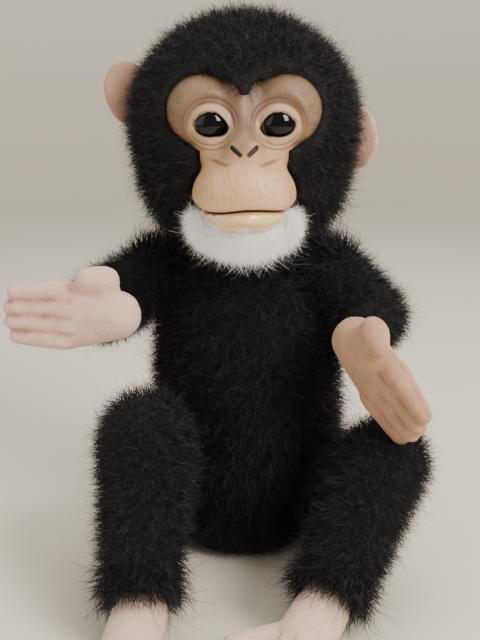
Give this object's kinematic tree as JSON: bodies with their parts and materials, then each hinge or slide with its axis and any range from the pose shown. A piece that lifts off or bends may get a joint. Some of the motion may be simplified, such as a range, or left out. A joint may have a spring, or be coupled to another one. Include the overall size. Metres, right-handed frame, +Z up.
{
  "type": "plush baby ape",
  "caption": "Seated plush baby ape with a moulded face, glossy eyes, pink hands and feet, a motor-driven jaw and a battery box behind a back flap.",
  "frame": {"origin": "middle of the flat seat, on the surface it sits on", "axes": "+Z up, the toy faces -Y, its own left side is +X"},
  "size_m": [0.2234, 0.2427, 0.3017],
  "materials": {
    "black_fur": "dense pile",
    "black_cloth": "knit",
    "white_fur": "fine pile",
    "pink_velboa": "short pile",
    "stuffing": "fibre",
    "pellets": "bag of pellets",
    "hook_and_loop": "woven",
    "vinyl": "soft moulded skin",
    "lip_vinyl": "soft moulded skin",
    "eye_gloss": "polished",
    "grey_plastic": "moulded",
    "ivory_plastic": "moulded",
    "white_plastic": "moulded",
    "steel": "plain",
    "board": "laminate",
    "speaker_black": "satin",
    "wire": "insulated",
    "brass": "cut"
  },
  "bodies": {
    "torso": {"torso_front_panel": "black_fur", "torso_back_panel_right": "black_fur", "torso_back_panel_left": "black_fur", "seat_panel": "black_fur", "torso_stuffing": "stuffing", "pellet_bag": "pellets", "loop_strip": "hook_and_loop", "battery_box": "grey_plastic", "battery_cover": "grey_plastic", "battery_cells": "steel", "battery_contacts": "steel", "circuit_board": "board", "speaker": "speaker_black", "speaker_grille": "grey_plastic", "box_screws": "steel", "neck_lead": "wire", "neck_ring": "ivory_plastic"},
    "flap": {"back_flap": "black_fur", "hook_strip": "hook_and_loop"},
    "switch": {"power_switch": "white_plastic"},
    "neck": {"neck_ball": "grey_plastic", "neck_cable_tie": "white_plastic"},
    "head": {"neck_cup": "ivory_plastic", "skull_front": "ivory_plastic", "skull_back": "ivory_plastic", "skull_screws": "steel", "face_chassis": "ivory_plastic", "chassis_screws": "steel", "face_mask": "vinyl", "right_eye": "eye_gloss", "left_eye": "eye_gloss", "eye_washers": "steel", "head_fur_right": "black_fur", "head_fur_left": "black_fur", "right_ear": "pink_velboa", "left_ear": "pink_velboa", "jaw_motor": "steel", "gear_axle": "steel", "jaw_pin": "steel", "motor_lead": "wire"},
    "jaw": {"lower_jaw": "ivory_plastic", "lower_lip": "lip_vinyl", "chin_fur": "white_fur"},
    "drive_gear": {"drive_gear": "white_plastic"},
    "motor_pinion": {"motor_pinion": "brass"},
    "right_shoulder": {"right_shoulder_web": "black_cloth"},
    "left_shoulder": {"left_shoulder_web": "black_cloth"},
    "right_arm": {"right_arm_sleeve": "black_fur"},
    "left_arm": {"left_arm_sleeve": "black_fur"},
    "right_hand": {"right_hand": "pink_velboa"},
    "left_hand": {"left_hand": "pink_velboa"},
    "right_leg": {"right_leg_sleeve": "black_fur"},
    "left_leg": {"left_leg_sleeve": "black_fur"},
    "right_foot": {"right_foot": "pink_velboa"},
    "left_foot": {"left_foot": "pink_velboa"}
  },
  "joints": [
    {"name": "neck_nod", "type": "hinge", "parent": "torso", "child": "neck", "pos_m": [0, 0, 0.181], "axis": [1, 0, 0], "range_deg": [-10, 8]},
    {"name": "neck_turn", "type": "hinge", "parent": "neck", "child": "head", "pos_m": [0, 0, 0.181], "axis": [0, 0, 1], "range_deg": [-35, 35]},
    {"name": "jaw_open", "type": "hinge", "parent": "head", "child": "jaw", "pos_m": [0, -0.012, 0.215], "axis": [1, 0, 0], "range_deg": [0, 12]},
    {"name": "gear_spin", "type": "hinge", "parent": "head", "child": "drive_gear", "pos_m": [0, 0.00005, 0.23587], "axis": [1, 0, 0], "range_deg": [-40, 4]},
    {"name": "motor_spin", "type": "hinge", "parent": "head", "child": "motor_pinion", "pos_m": [0, 0.00427, 0.25162], "axis": [1, 0, 0], "range_deg": [-4, 130]},
    {"name": "right_shoulder_swing", "type": "hinge", "parent": "torso", "child": "right_shoulder", "pos_m": [-0.05, -0.002, 0.159], "axis": [1, 0, 0], "range_deg": [-50, 6]},
    {"name": "right_arm_lift", "type": "hinge", "parent": "right_shoulder", "child": "right_arm", "pos_m": [-0.05, -0.002, 0.159], "axis": [0, 0.7593, -0.6508], "range_deg": [-3, 25]},
    {"name": "right_wrist", "type": "hinge", "parent": "right_arm", "child": "right_hand", "pos_m": [-0.067, -0.051, 0.149], "axis": [0, 0, 1], "range_deg": [-7, 25]},
    {"name": "left_shoulder_swing", "type": "hinge", "parent": "torso", "child": "left_shoulder", "pos_m": [0.05, -0.002, 0.159], "axis": [1, 0, 0], "range_deg": [-50, 0]},
    {"name": "left_arm_lift", "type": "hinge", "parent": "left_shoulder", "child": "left_arm", "pos_m": [0.05, -0.002, 0.159], "axis": [0, -0.8575, 0.5145], "range_deg": [0, 25]},
    {"name": "left_wrist", "type": "hinge", "parent": "left_arm", "child": "left_hand", "pos_m": [0.059, -0.055, 0.136], "axis": [-0.3593, 0.5981, -0.7163], "range_deg": [-12, 25]},
    {"name": "right_hip", "type": "hinge", "parent": "torso", "child": "right_leg", "pos_m": [-0.049, -0.031, 0.032], "axis": [1, 0, 0], "range_deg": [-8, 20]},
    {"name": "right_ankle", "type": "hinge", "parent": "right_leg", "child": "right_foot", "pos_m": [-0.051, -0.123, 0.017], "axis": [0.9903, -0.1392, 0], "range_deg": [-10, 12]},
    {"name": "left_hip", "type": "hinge", "parent": "torso", "child": "left_leg", "pos_m": [0.049, -0.031, 0.032], "axis": [1, 0, 0], "range_deg": [-8, 20]},
    {"name": "left_ankle", "type": "hinge", "parent": "left_leg", "child": "left_foot", "pos_m": [0.038, -0.12, 0.017], "axis": [0.866, -0.5, 0], "range_deg": [-10, 12]},
    {"name": "back_flap_open", "type": "hinge", "parent": "torso", "child": "flap", "pos_m": [0.0218, 0.0315, 0.0778], "axis": [0, 0, -1], "range_deg": [0, 110]},
    {"name": "power_switch_slide", "type": "slide", "parent": "torso", "child": "switch", "axis": [1, 0, 0], "range_m": [0, 0.004]}
  ],
  "couplings": [
    {"joint": "gear_spin", "follows": "jaw_open", "ratio": -3},
    {"joint": "motor_spin", "follows": "jaw_open", "ratio": 10.5}
  ]
}
